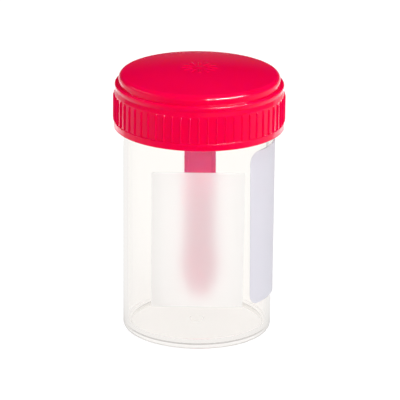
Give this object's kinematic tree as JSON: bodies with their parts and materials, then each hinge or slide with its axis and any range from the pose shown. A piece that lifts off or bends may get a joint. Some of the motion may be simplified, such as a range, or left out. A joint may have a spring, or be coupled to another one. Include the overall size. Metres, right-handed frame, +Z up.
{
  "type": "stool specimen container",
  "caption": "Clear round specimen cup with a ribbed, domed screw cap that carries a flat spoon into the cup, and a blank label on its side.",
  "frame": {"origin": "middle of the foot, on the surface that the container stands on", "axes": "+Z up along the cup's and cap's axis, -Y towards the front, +X to the label's side"},
  "size_m": [0.043, 0.043, 0.0678],
  "materials": {
    "clear_cup": "clear polystyrene, smooth outside with a matt writing window on the front",
    "red_cap": "glossy moulded polyethylene",
    "liner_foam": "closed-cell polyethylene foam",
    "red_spoon": "moulded polypropylene, satin",
    "label_film": "plain white self-adhesive film"
  },
  "bodies": {
    "cup_body": {"cup": "clear_cup", "label": "label_film"},
    "liner_body": {"cap_liner": "liner_foam"},
    "cap_body": {"screw_cap": "red_cap", "spoon": "red_spoon"}
  },
  "joints": [
    {"name": "cap_turn", "type": "hinge", "parent": "liner_body", "child": "cap_body", "pos_m": [0, 0, 0.06], "axis": [0, 0, 1], "range_deg": [0, 450]},
    {"name": "cap_rise", "type": "slide", "parent": "cup_body", "child": "liner_body", "axis": [0, 0, 1], "range_m": [0, 0.00501]}
  ],
  "couplings": [
    {"joint": "cap_rise", "follows": "cap_turn", "m_per_rad": 0.00063662}
  ]
}
